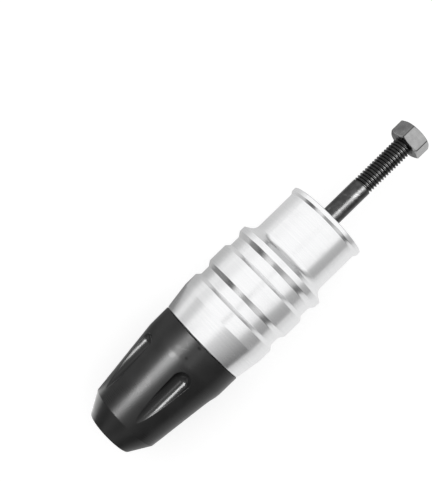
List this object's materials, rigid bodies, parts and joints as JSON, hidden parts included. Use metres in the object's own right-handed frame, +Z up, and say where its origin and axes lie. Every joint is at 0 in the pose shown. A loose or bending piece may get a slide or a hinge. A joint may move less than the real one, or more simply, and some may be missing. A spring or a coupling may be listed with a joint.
{
  "type": "motorcycle frame slider",
  "caption": "Frame slider for a motorcycle: fluted black nylon nose on a ringed, turned aluminium body, with a long socket-head bolt and nut through its axis.",
  "frame": {"origin": "middle of the mounting face, the flat back of the flange, which meets the motorcycle's frame", "axes": "+X along the slider's axis from the mounting face to the nose, level as on the motorcycle; the bolt comes out along -X; +Z up"},
  "size_m": [0.1608, 0.04, 0.04],
  "materials": {
    "aluminium": "satin",
    "nylon": "satin",
    "bolt_steel": "satin",
    "spring_steel": "satin",
    "nut_steel": "satin"
  },
  "bodies": {
    "slider": {"body": "aluminium", "nose": "nylon"},
    "washer": {"spring_washer": "spring_steel"},
    "bolt": {"bolt": "bolt_steel"},
    "nut": {"nut": "nut_steel"}
  },
  "joints": [
    {"name": "bolt_slide", "type": "slide", "parent": "slider", "child": "washer", "axis": [1, 0, 0], "range_m": [0, 0.0155]},
    {"name": "bolt_turn", "type": "hinge", "parent": "washer", "child": "bolt", "pos_m": [0.0534, 0, 0], "axis": [-1, 0, 0], "range_deg": [-1440, 6480]},
    {"name": "nut_travel", "type": "slide", "parent": "washer", "child": "nut", "axis": [1, 0, 0], "range_m": [-0.00501, 0.02251]}
  ],
  "couplings": [
    {"joint": "nut_travel", "follows": "bolt_turn", "m_per_rad": 0.00019894}
  ]
}
